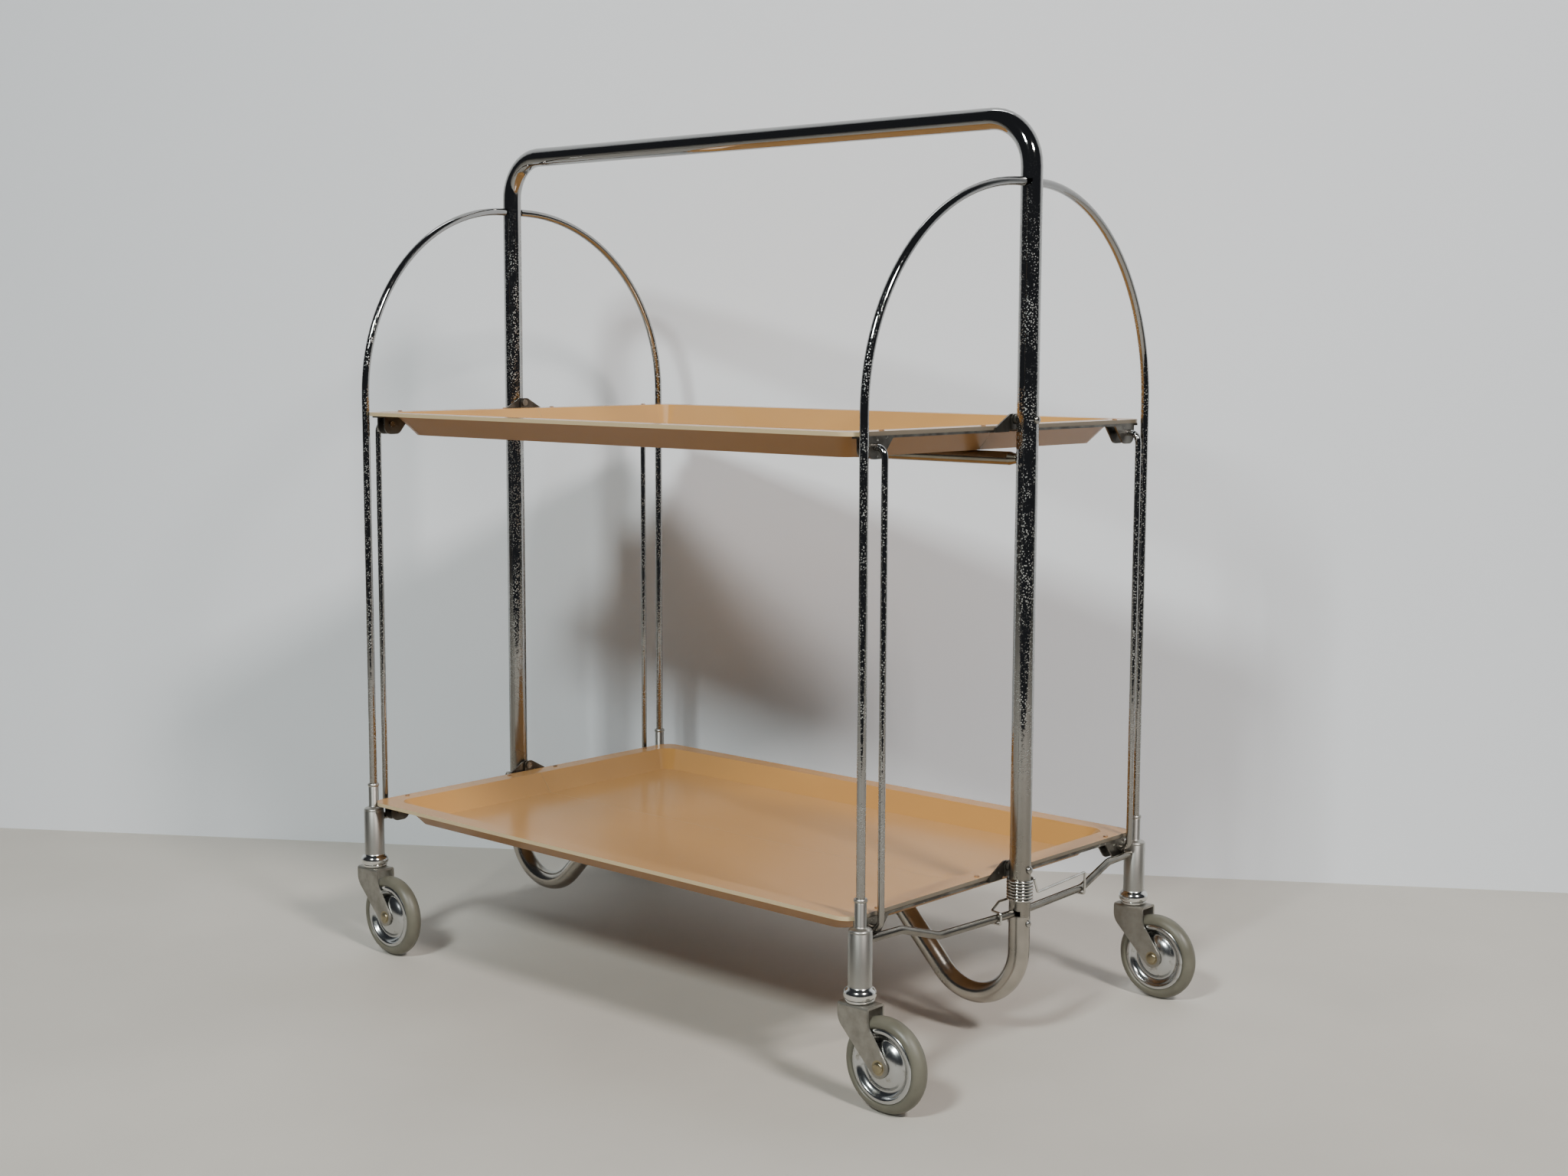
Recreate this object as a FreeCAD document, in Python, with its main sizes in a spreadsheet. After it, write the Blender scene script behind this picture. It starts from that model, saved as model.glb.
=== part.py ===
import FreeCAD, Part

import math
import os

import Sketcher

# Drop leaf tea trolley. Millimetres. The origin is on the floor midway between the two posts:
# X runs along the trolley, Y across it (the near side is -Y) and Z up.
# A chrome tube frame carries two trays, one over the other, each of two leaves that fold up about
# pins in the posts. Two rods on each side join the upper leaf to the lower one. Four sprung gates,
# each a hooped wire leg with a caster, are pivoted in the posts.

SIZES = {
    # handle frame: one tube bent into both posts and the handle
    "handle_height": 775.0,
    "tube_diameter": 18.0,
    "tube_wall": 1.2,
    "handle_bend": 40.0,
    "joint_drop": 35.1,
    "spigot_depth": 24.0,
    "spigot_shoulder": 0.8,
    "foot_rivet": 3.2,
    "foot_rivet_head": 5.4,
    "foot_rivet_drop": 5.6,
    # base tube: both feet and the run under the lower tray
    "foot_clearance": 28.4,
    "foot_bend": 46.0,
    "foot_rise_angle": 45.6,
    "base_run_bend": 40.0,
    # crossbar under the upper tray
    "crossbar_diameter": 11.2,
    "crossbar_tip": 7.5,
    "crossbar_taper": 7.7,
    # trays
    "lower_rim_height": 147.5,
    "tray_spacing": 372.0,
    "tray_length": 602.0,
    "tray_width": 399.0,
    "tray_corner": 15.0,
    "flange_width": 18.0,
    "tray_sheet": 2.5,
    "bead_depth": 3.3,
    "bead_width": 2.5,
    "basin_depth": 18.7,
    "basin_run": 15.0,
    "basin_corner": 14.0,
    "basin_floor_corner": 10.0,
    "seam_gap": 0.3,
    # end straps with the hinge ears and the cheeks for the link rods
    "strap_sheet": 2.0,
    "strap_width": 11.5,
    "strap_overhang": 0.8,
    "strap_start": 6.0,
    "strap_reach": 188.0,
    "hinge_rise": 5.0,
    "hinge_pin": 4.0,
    "hinge_pin_head": 6.4,
    "hinge_pin_play": 0.2,
    "hinge_collar": 7.6,
    "hinge_collar_length": 2.55,
    "pin_head_depth": 1.5,
    "ear_sheet": 1.5,
    "ear_gap": 1.3,
    "ear_step": 0.3,
    "ear_radius": 4.5,
    "ear_round": 4.2,
    "ear_length": 24.0,
    "cheek_sheet": 1.7,
    "cheek_depth": 21.0,
    "cheek_start": 152.0,
    "lobe_start": 166.0,
    "lobe_end": 182.5,
    "lobe_corner": 7.0,
    "tray_rivet": 3.2,
    "tray_rivet_head": 5.0,
    "tray_rivet_head_depth": 0.9,
    "hinge_rivet_place": 31.0,
    "corner_rivet_place": 160.0,
    # link rods between the upper and lower leaves
    "link_rod": 5.5,
    "link_place": 174.5,
    "link_standoff": 10.5,
    "link_drop": 11.5,
    "link_bend": 8.0,
    "link_tail": 1.3,
    # gates: hooped leg, arm and socket
    "gate_radius": 192.8,
    "gate_lean": 3.4,
    "gate_swing": 25.0,
    "gate_rod": 7.2,
    "arch_drop": 61.0,
    "arch_radius": 180.0,
    "pivot_pin": 4.0,
    "pivot_reach": 4.5,
    "pivot_shoulder": 1.5,
    "arm_rod": 6.6,
    "arm_drop": 31.9,
    "arm_end_drop": 18.1,
    "arm_rise_start": 101.0,
    "arm_rise_end": 146.0,
    "arm_bend": 25.0,
    "leg_end_drop": 21.5,
    "socket_diameter": 19.0,
    "socket_drop": 7.3,
    "socket_shoulder": 2.6,
    "neck_diameter": 9.6,
    "neck_length": 23.2,
    "neck_ring": 2.6,
    "neck_ring_step": 0.7,
    "cup_diameter": 26.0,
    "cup_height": 11.6,
    "cup_round": 3.0,
    # springs round the posts
    "spring_wire": 2.1,
    "spring_diameter": 22.5,
    "spring_bottom_drop": 23.2,
    "spring_top_drop": 2.1,
    "spring_turns": 6.75,
    "spring_near_hook": 30.0,
    "spring_far_hook": 98.0,
    "spring_far_side": 7.1,
    "spring_far_place": 15.3,
    "spring_far_lift": 14.9,
    # casters
    "wheel_diameter": 76.0,
    "tyre_width": 15.0,
    "tyre_bore": 56.0,
    "tread_width": 4.0,
    "tread_bevel": 1.6,
    "tyre_shoulder": 3.0,
    "tyre_shoulder_bevel": 1.2,
    "tyre_flank": 8.5,
    "tyre_lip": 2.0,
    "hub_width": 16.0,
    "hub_boss": 14.0,
    "hub_dome": 34.3,
    "hub_dome_edge": 9.8,
    "hub_flange": 46.3,
    "hub_flange_width": 13.2,
    "hub_web": 6.4,
    "hub_draft": 0.3,
    "hub_bevel": 0.9,
    "axle_diameter": 6.0,
    "axle_head": 9.0,
    "axle_head_depth": 1.8,
    "caster_trail": 27.0,
    "wheel_clearance": 3.9,
    "fork_width": 20.6,
    "fork_sheet": 2.0,
    "fork_front": 14.0,
    "fork_back": 16.0,
    "fork_knee_drop": 14.4,
    "fork_front_round": 15.3,
    "fork_back_round": 11.0,
    "fork_end": 8.5,
    "fork_front_angle": 45.0,
    "fork_back_angle": 35.0,
    "fork_edge": 2.4,
    "stem_diameter": 8.0,
    "stem_head": 13.0,
    "stem_head_depth": 1.6,
    "stem_drop": 27.5,
    # clearances
    "running_fit": 0.05,
    "seat_gap": 0.3,
    "weld_gap": 0.05,
    "head_taper": 0.7,
}

PLANES = {"XY": "XY_Plane", "XZ": "XZ_Plane", "YZ": "YZ_Plane"}
HEXAGON = 6
FULL_TURN = 360.0
RIGHT_ANGLE = 90.0
THROUGH = 3  # a cut this many times as deep as its piece passes through it, even from its middle
SAME = 1e-6
MOSTLY = 0.9

doc = FreeCAD.newDocument("tea_trolley")
vector = FreeCAD.Vector


class Size:
    """A number with the sheet expression that it comes from, so that sums of sizes stay bound."""

    def __init__(self, number, text):
        self.number = float(number)
        self.text = text

    def __float__(self):
        return self.number

    def __add__(self, other):
        return joined(self, "+", other, self.number + float(other))

    def __radd__(self, other):
        return joined(other, "+", self, float(other) + self.number)

    def __sub__(self, other):
        return joined(self, "-", other, self.number - float(other))

    def __rsub__(self, other):
        return joined(other, "-", self, float(other) - self.number)

    def __mul__(self, other):
        return joined(self, "*", other, self.number * float(other))

    def __rmul__(self, other):
        return joined(other, "*", self, float(other) * self.number)

    def __truediv__(self, other):
        return joined(self, "/", other, self.number / float(other))

    def __neg__(self):
        return joined(0, "-", self, -self.number)


def text_of(value):
    return value.text if isinstance(value, Size) else repr(float(value))


def joined(left, sign, right, number):
    return Size(number, f"({text_of(left)} {sign} {text_of(right)})")


def tangent(angle):
    return Size(math.tan(math.radians(float(angle))), f"tan({text_of(angle)} * 1deg)")


def sine(angle):
    return Size(math.sin(math.radians(float(angle))), f"sin({text_of(angle)} * 1deg)")


def cosine(angle):
    return Size(math.cos(math.radians(float(angle))), f"cos({text_of(angle)} * 1deg)")


def root(value):
    return Size(math.sqrt(float(value)), f"sqrt({text_of(value)})")


def fill_sheet():
    """Writes every size into the sheet and returns each one bound to its cell."""
    sheet = doc.addObject("Spreadsheet::Sheet", "Sizes")
    bound = {}
    for row, (name, number) in enumerate(SIZES.items(), start=1):
        sheet.set(f"A{row}", name)
        sheet.set(f"B{row}", str(number))
        sheet.setAlias(f"B{row}", name)
    doc.recompute()
    for name in SIZES:
        bound[name] = Size(sheet.get(name), f"Sizes.{name}")
    return bound


size = fill_sheet()

# frame
tube_r = size["tube_diameter"] / 2
bore_r = tube_r - size["tube_wall"]
handle_z = size["handle_height"] - tube_r
arch_z = size["handle_height"] - size["arch_drop"]

# trays: heights are measured from the top of the rim
lower_rim = size["lower_rim_height"]
rim_heights = {"upper": lower_rim + size["tray_spacing"], "lower": lower_rim}
half_length = size["tray_length"] / 2
half_width = size["tray_width"] / 2
seam_y = size["seam_gap"] / 2
tray_underside = size["basin_depth"] + size["tray_sheet"]
crossbar_r = size["crossbar_diameter"] / 2
crossbar_z = rim_heights["upper"] - tray_underside - size["seat_gap"] - crossbar_r
base_run_z = lower_rim - tray_underside - size["seat_gap"] - tube_r

# joints between the posts and the feet
joint_z = lower_rim - size["joint_drop"]
foot_rivet_z = joint_z - size["foot_rivet_drop"]
foot_rivet_r = size["foot_rivet"] / 2
foot_rivet_hole_r = foot_rivet_r + size["running_fit"]

# hinge pins, the two ears that share each pin side by side, and the post beyond the pin's collar
pin_r = size["hinge_pin"] / 2
pin_hole_r = pin_r + size["running_fit"]
inner_ear_x = half_length + size["ear_gap"]
outer_ear_x = inner_ear_x + size["ear_sheet"] + size["ear_step"]
ears_end_x = outer_ear_x + size["ear_sheet"]
collar_in = ears_end_x + size["seat_gap"]
collar_out = collar_in + size["hinge_collar_length"]
post_x = collar_out + size["weld_gap"] + tube_r
strap_out_x = half_length + size["strap_overhang"]
strap_in_x = strap_out_x - size["strap_width"]
tray_rivet_r = size["tray_rivet"] / 2
tray_rivet_hole_r = tray_rivet_r + size["running_fit"]
rivet_x = (strap_in_x + strap_out_x) / 2
rivet_places = (size["hinge_rivet_place"], size["corner_rivet_place"])

# link rods
link_r = size["link_rod"] / 2
link_hole_r = link_r + size["running_fit"]
link_x = half_length + size["link_standoff"]
link_end_x = strap_in_x - size["link_tail"]

# gates
lean = size["gate_lean"]
gate_rod_r = size["gate_rod"] / 2
arm_r = size["arm_rod"] / 2
pivot_r = size["pivot_pin"] / 2
socket_r = size["socket_diameter"] / 2
leg_x = post_x - size["gate_radius"] * sine(lean)
leg_y = size["gate_radius"] * cosine(lean)
leg_u = size["gate_radius"]
leg_end_z = lower_rim - size["leg_end_drop"]
arm_z = lower_rim - size["arm_drop"]
arm_end_z = lower_rim - size["arm_end_drop"]
gate_start = tube_r + size["pivot_shoulder"]

# casters
wheel_r = size["wheel_diameter"] / 2
axle_r = size["axle_diameter"] / 2
stem_r = size["stem_diameter"] / 2
stem_top_z = lower_rim - size["stem_drop"]
crown_under = size["wheel_diameter"] + size["wheel_clearance"]
crown_z = crown_under + size["fork_sheet"]
fork_half = size["fork_width"] / 2

SIDES = {"near": -1, "far": 1}
ENDS = {"left": -1, "right": 1}
nodes = []


# ---------------------------------------------------------------- sketches and features


def new_body(label):
    body = doc.addObject("PartDesign::Body", label)
    body.Label = label
    return body


def node(thing):
    """Keeps an object as one of the parts that are written out."""
    nodes.append(thing)
    return thing


def sketch_on(body, plane, offset=(0, 0, 0)):
    """A sketch on one of the body's origin planes, moved by an offset in the plane's own axes."""
    support = next(f for f in body.Origin.OriginFeatures if f.Role == PLANES[plane])
    sketch = body.newObject("Sketcher::SketchObject", "Sketch")
    sketch.AttachmentSupport = [(support, "")]
    sketch.MapMode = "FlatFace"
    sketch.AttachmentOffset = FreeCAD.Placement(vector(*map(float, offset)), FreeCAD.Rotation())
    for axis, value in zip("xyz", offset):
        if isinstance(value, Size):
            sketch.setExpression(f"AttachmentOffset.Base.{axis}", value.text)
    return sketch


def pin_down(sketch, geometry, point, place):
    """Ties one point of a sketch to a place given by two sizes."""
    for kind, axis, value in (("DistanceX", -2, place[0]), ("DistanceY", -1, place[1])):
        if isinstance(value, Size):
            index = sketch.addConstraint(Sketcher.Constraint(kind, -1, 1, geometry, point, float(value)))
            sketch.setExpression(f"Constraints[{index}]", value.text)
        else:
            sketch.addConstraint(Sketcher.Constraint("PointOnObject", geometry, point, axis))


def draw(sketch, corners, closed=True):
    """Straight lines through the corners; a corner with a third value is rounded to that radius."""
    count = len(corners)
    points = [vector(float(c[0]), float(c[1]), 0) for c in corners]
    arrive, leave = list(points), list(points)
    turns = {}
    for i, corner in enumerate(corners):
        if len(corner) < 3:
            continue
        before = (points[i] - points[i - 1]).normalize()
        after = (points[(i + 1) % count] - points[i]).normalize()
        reach = float(corner[2]) * math.tan(before.getAngle(after) / 2)
        left = before.x * after.y - before.y * after.x > 0
        arrive[i] = points[i] - before * reach
        leave[i] = points[i] + after * reach
        inward = vector(-before.y, before.x, 0) * (1 if left else -1)
        turns[i] = (arrive[i] + inward * float(corner[2]), left)
    lines = []
    for i in range(count if closed else count - 1):
        segment = Part.LineSegment(leave[i], arrive[(i + 1) % count])
        lines.append(sketch.addGeometry(segment, False))
    for i, corner in enumerate(corners):
        inner = closed or 0 < i < count - 1
        if i in turns:
            round_corner(sketch, corner, lines[i - 1], lines[i], arrive[i], leave[i], turns[i])
        elif inner:
            sketch.addConstraint(Sketcher.Constraint("Coincident", lines[i - 1], 2, lines[i], 1))
            pin_down(sketch, lines[i], 1, corner)
        elif i == 0:
            pin_down(sketch, lines[0], 1, corner)
        else:
            pin_down(sketch, lines[-1], 2, corner)


def round_corner(sketch, corner, before, after, start, end, turn):
    """A tangent arc between two lines that meet at a corner, held by the corner and the radius."""
    centre, left = turn
    radius = float(corner[2])
    first, last = (start, end) if left else (end, start)
    from_angle = math.atan2(first.y - centre.y, first.x - centre.x)
    to_angle = math.atan2(last.y - centre.y, last.x - centre.x)
    if to_angle < from_angle:
        to_angle += 2 * math.pi
    circle = Part.Circle(centre, vector(0, 0, 1), radius)
    arc = sketch.addGeometry(Part.ArcOfCircle(circle, from_angle, to_angle), False)
    apex = sketch.addGeometry(Part.Point(vector(float(corner[0]), float(corner[1]), 0)), True)
    pin_down(sketch, apex, 1, corner)
    sketch.addConstraint(Sketcher.Constraint("PointOnObject", apex, 1, before))
    sketch.addConstraint(Sketcher.Constraint("PointOnObject", apex, 1, after))
    sketch.addConstraint(Sketcher.Constraint("Tangent", before, 2, arc, 1 if left else 2))
    sketch.addConstraint(Sketcher.Constraint("Tangent", after, 1, arc, 2 if left else 1))
    index = sketch.addConstraint(Sketcher.Constraint("Radius", arc, radius))
    sketch.setExpression(f"Constraints[{index}]", text_of(corner[2]))


def rectangle(sketch, low_x, low_y, high_x, high_y):
    draw(sketch, [(low_x, low_y), (high_x, low_y), (high_x, high_y), (low_x, high_y)])


def circle_on(sketch, centre, radius):
    middle = vector(float(centre[0]), float(centre[1]), 0)
    geometry = sketch.addGeometry(Part.Circle(middle, vector(0, 0, 1), float(radius)), False)
    pin_down(sketch, geometry, 3, centre)
    index = sketch.addConstraint(Sketcher.Constraint("Radius", geometry, float(radius)))
    sketch.setExpression(f"Constraints[{index}]", text_of(radius))


def extrude(body, kind, sketch, length, both_ways=False, backward=False):
    """Adds a Pad or cuts a Pocket of the stated length."""
    feature = body.newObject(f"PartDesign::{kind}", kind)
    feature.Profile = sketch
    feature.Length = float(length)
    feature.setExpression("Length", text_of(length))
    feature.Midplane = both_ways
    feature.Reversed = backward
    return feature


def revolve(body, sketch, axis="V_Axis"):
    feature = body.newObject("PartDesign::Revolution", "Revolution")
    feature.Profile = sketch
    feature.ReferenceAxis = (sketch, [axis])
    feature.Angle = FULL_TURN
    return feature


def sweep(body, profile, path):
    feature = body.newObject("PartDesign::AdditivePipe", "Pipe")
    feature.Profile = profile
    feature.Spine = path
    return feature


def loft(body, kind, lower, upper):
    feature = body.newObject(f"PartDesign::{kind}Loft", "Loft")
    feature.Profile = lower
    feature.Sections = [upper]
    feature.Ruled = True
    return feature


def fillet_edges(body, base, radius, wanted):
    """Rounds the edges of a feature whose middle point passes a test."""
    doc.recompute()
    names = []
    for number, edge in enumerate(base.Shape.Edges, start=1):
        middle = edge.valueAt((edge.FirstParameter + edge.LastParameter) / 2)
        if wanted(edge, middle):
            names.append(f"Edge{number}")
    feature = body.newObject("PartDesign::Fillet", "Fillet")
    feature.Base = (base, names)
    feature.Radius = float(radius)
    feature.setExpression("Radius", text_of(radius))
    return feature


def turned(label, corners):
    """A turned piece: a closed outline of (radius, height) corners about the Z axis."""
    body = new_body(label)
    outline = sketch_on(body, "XZ")
    draw(outline, corners)
    revolve(body, outline)
    return body


def stand(thing, place, axis=(0, 0, 1), angle=0):
    """Sets where an object stands; sizes in the place or the angle stay bound to the sheet."""
    rotation = FreeCAD.Rotation(vector(*axis), float(angle))
    thing.Placement = FreeCAD.Placement(vector(*map(float, place)), rotation)
    for letter, value in zip("xyz", place):
        if isinstance(value, Size):
            thing.setExpression(f"Placement.Base.{letter}", value.text)
    if isinstance(angle, Size):
        thing.setExpression("Placement.Rotation.Angle", angle.text)
    return thing


def group(label, things):
    """Identical fasteners kept as one group of separate solids."""
    compound = doc.addObject("Part::Compound", label)
    compound.Label = label
    compound.Links = things
    return node(compound)


# ---------------------------------------------------------------- frame


def build_handle_frame():
    """Both posts and the handle, one bent tube with a reduced spigot at each lower end."""
    body = new_body("handle_frame")
    path = sketch_on(body, "XZ")
    bend = size["handle_bend"]
    corners = [(-post_x, joint_z), (-post_x, handle_z, bend), (post_x, handle_z, bend), (post_x, joint_z)]
    draw(path, corners, closed=False)
    section = sketch_on(body, "XY", (-post_x, 0, joint_z))
    circle_on(section, (0, 0), tube_r)
    circle_on(section, (0, 0), bore_r)
    sweep(body, section, path)
    spigot_r = bore_r - size["running_fit"]
    spigot_bore = spigot_r - size["tube_wall"]
    spigot_z = joint_z - size["spigot_depth"]
    shoulder_z = joint_z + size["spigot_shoulder"]
    for end in ENDS.values():
        outline = sketch_on(body, "XZ", (end * post_x, 0, 0))
        draw(outline, [
            (spigot_bore, spigot_z), (spigot_r, spigot_z), (spigot_r, joint_z),
            (tube_r, joint_z), (tube_r, shoulder_z), (spigot_bore, shoulder_z),
        ])
        revolve(body, outline)
    holes = sketch_on(body, "YZ")
    for rim in rim_heights.values():
        circle_on(holes, (0, rim + size["hinge_rise"]), pin_hole_r)
    circle_on(holes, (0, foot_rivet_z), foot_rivet_hole_r)
    extrude(body, "Pocket", holes, post_x * THROUGH, both_ways=True)
    slots = sketch_on(body, "XZ")
    for end in ENDS.values():
        for height in (arch_z, arm_z):
            draw_pivot_slot(slots, end, height)
    extrude(body, "Pocket", slots, size["tube_diameter"] * THROUGH, both_ways=True)
    return node(body)


def draw_pivot_slot(sketch, end, height):
    """The slot in a post through which a gate's pivot pin swings outward from its rest."""
    half_height = pivot_r + size["seat_gap"]
    swing = size["gate_swing"] - lean
    inboard = tube_r * sine(lean) + half_height
    outboard = tube_r * sine(swing) + pivot_r / cosine(swing) + size["seat_gap"]
    low_x = end * (post_x - inboard)
    high_x = end * (post_x + outboard)
    rectangle(sketch, low_x, height - half_height, high_x, height + half_height)


def build_base_tube():
    """Both feet and the run that joins them under the lower tray, one bent tube."""
    body = new_body("base_tube")
    rise = size["foot_rise_angle"]
    bend = size["foot_bend"]
    apex_z = size["foot_clearance"] + tube_r + bend - bend * tangent((rise + RIGHT_ANGLE) / 2)
    run_x = post_x - (base_run_z - apex_z) / tangent(rise)
    run_bend = size["base_run_bend"]
    path = sketch_on(body, "XZ")
    draw(path, [
        (post_x, joint_z), (post_x, apex_z, bend), (run_x, base_run_z, run_bend),
        (-run_x, base_run_z, run_bend), (-post_x, apex_z, bend), (-post_x, joint_z),
    ], closed=False)
    section = sketch_on(body, "XY", (post_x, 0, joint_z))
    circle_on(section, (0, 0), tube_r)
    circle_on(section, (0, 0), bore_r)
    sweep(body, section, path)
    for end in ENDS.values():
        hole = sketch_on(body, "YZ", (0, 0, end * post_x))
        circle_on(hole, (0, foot_rivet_z), foot_rivet_hole_r)
        extrude(body, "Pocket", hole, size["tube_diameter"] * THROUGH, both_ways=True)
    return node(body)


def build_crossbar():
    """The stretcher under the upper tray, drawn down at each end where it is welded to a post."""
    body = new_body("crossbar")
    end_x = post_x - tube_r - size["weld_gap"]
    taper_x = end_x - size["crossbar_taper"]
    tip_r = size["crossbar_tip"] / 2
    outline = sketch_on(body, "XY")
    draw(outline, [
        (-end_x, 0), (end_x, 0), (end_x, tip_r), (taper_x, crossbar_r),
        (-taper_x, crossbar_r), (-end_x, tip_r),
    ])
    revolve(body, outline, "H_Axis")
    return node(stand(body, (0, 0, crossbar_z)))


def build_hinge_pins():
    """A headed pin through each post for each tray, with a collar that spaces the ears off the post."""
    head_r = size["hinge_pin_head"] / 2
    collar_r = size["hinge_collar"] / 2
    head = size["pin_head_depth"]
    inner_x = inner_ear_x - size["hinge_pin_play"]
    post_out = post_x + tube_r + size["weld_gap"]
    corners = [
        (inner_x - head, 0), (post_out + head, 0), (post_out + head, head_r * size["head_taper"]),
        (post_out, head_r), (post_out, pin_r), (collar_out, pin_r), (collar_out, collar_r),
        (collar_in, collar_r), (collar_in, pin_r), (inner_x, pin_r), (inner_x, head_r),
        (inner_x - head, head_r),
    ]
    pins = []
    for level, rim in rim_heights.items():
        for name, end in ENDS.items():
            body = new_body(f"hinge_pin_{level}_{name}")
            outline = sketch_on(body, "XY")
            draw(outline, corners)
            revolve(body, outline, "H_Axis")
            angle = 0 if end > 0 else FULL_TURN / 2
            pins.append(stand(body, (0, 0, rim + size["hinge_rise"]), angle=angle))
    return group("hinge_pins", pins)


def build_foot_rivets():
    """The rivet that holds each foot on its post's spigot."""
    head_r = size["foot_rivet_head"] / 2
    half = tube_r + size["weld_gap"]
    head = size["pin_head_depth"]
    crown_r = head_r * size["head_taper"]
    corners = [
        (-half - head, 0), (half + head, 0), (half + head, crown_r), (half, head_r),
        (half, foot_rivet_r), (-half, foot_rivet_r), (-half, head_r), (-half - head, crown_r),
    ]
    rivets = []
    for name, end in ENDS.items():
        body = new_body(f"foot_rivet_{name}")
        outline = sketch_on(body, "XY")
        draw(outline, corners)
        revolve(body, outline, "H_Axis")
        rivets.append(stand(body, (end * post_x, 0, foot_rivet_z)))
    return group("foot_rivets", rivets)


def wire_path(points, bend):
    """A wire of straight runs through the points with tangent arcs at the inner ones."""
    edges = []
    last = points[0]
    for i in range(1, len(points) - 1):
        before = (points[i] - points[i - 1]).normalize()
        after = (points[i + 1] - points[i]).normalize()
        turn = before.getAngle(after)
        reach = bend * math.tan(turn / 2)
        start = points[i] - before * reach
        end = points[i] + after * reach
        inward = (after - before).normalize()
        middle = points[i] + inward * bend * (1 / math.cos(turn / 2) - 1)
        edges.append(Part.LineSegment(last, start).toShape())
        edges.append(Part.Arc(start, middle, end).toShape())
        last = end
    edges.append(Part.LineSegment(last, points[-1]).toShape())
    return Part.Wire(edges)


def hexagon(centre, normal, radius):
    """A six-sided wire section of the same area as the round one."""
    across = normal.cross(vector(0, 0, 1)).normalize()
    up = across.cross(normal).normalize()
    corner_r = radius * math.sqrt(2 * math.pi / (HEXAGON * math.sin(2 * math.pi / HEXAGON)))
    corners = []
    for i in range(HEXAGON + 1):
        angle = 2 * math.pi * i / HEXAGON
        corners.append(centre + across * corner_r * math.cos(angle) + up * corner_r * math.sin(angle))
    return Part.makePolygon(corners)


def spring_shape():
    """A torsion spring round a post: close coils, one leg to the near arm and one to the far arm."""
    wire_r = float(size["spring_wire"]) / 2
    coil_r = float(size["spring_diameter"]) / 2 - wire_r
    low = float(lower_rim - size["spring_bottom_drop"]) + wire_r
    rise = float(lower_rim - size["spring_top_drop"]) - wire_r - low
    turns = float(size["spring_turns"])
    clear = wire_r + float(size["seat_gap"])
    tilt = math.radians(float(lean))
    arm_top = float(arm_z + arm_r) + clear
    arm_bottom = float(arm_z - arm_r) - clear
    side = float(arm_r) + clear
    helix = Part.makeHelix(rise / turns, rise, coil_r, 0, True)
    helix.rotate(vector(0, 0, 0), vector(0, 0, 1), FULL_TURN / 2)
    helix.translate(vector(0, 0, low))
    begin = vector(-coil_r, 0, low)
    coil = Part.Wire(helix.Edges).makePipeShell([hexagon(begin, vector(0, 1, 0), wire_r)], True, True)
    bend = wire_r * 2
    near_u = float(size["spring_near_hook"])
    near_x = -near_u * math.sin(tilt)
    near_y = -near_u * math.cos(tilt)
    near_points = [
        begin, vector(-coil_r, near_y / 2, low), vector(near_x - side, near_y, arm_top + wire_r),
        vector(near_x + side, near_y, arm_top), vector(near_x + side, near_y, arm_bottom),
        vector(near_x - side, near_y, arm_bottom),
    ]
    far_u = float(size["spring_far_hook"])
    far_x = -far_u * math.sin(tilt)
    far_y = far_u * math.cos(tilt)
    top = vector(0, coil_r, low + rise)
    drop_x = float(size["spring_far_side"])
    drop_y = float(size["spring_far_place"])
    run_z = float(arm_z + size["spring_far_lift"])
    far_points = [
        top, vector(drop_x, coil_r, low + rise - wire_r), vector(drop_x, drop_y, run_z),
        vector(far_x + side, far_y, run_z), vector(far_x + side, far_y, arm_bottom),
        vector(far_x - side, far_y, arm_bottom),
    ]
    legs = []
    for points in (near_points, far_points):
        direction = (points[1] - points[0]).normalize()
        section = hexagon(points[0], direction, wire_r)
        legs.append(wire_path(points, bend).makePipeShell([section], True, False))
    return coil.fuse(legs)


def build_springs():
    for name, end in ENDS.items():
        spring = doc.addObject("Part::Feature", f"spring_{name}")
        spring.Label = f"spring_{name}"
        spring.Shape = spring_shape()
        angle = 0 if end > 0 else FULL_TURN / 2
        node(stand(spring, (end * post_x, 0, 0), angle=angle))


# ---------------------------------------------------------------- leaves


def leaf_outline(sketch, length, width, corner):
    """Half of a rounded rectangle, cut off at the seam between the two leaves."""
    draw(sketch, [
        (-length, -seam_y), (-length, -width, corner), (length, -width, corner), (length, -seam_y),
    ])


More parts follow.
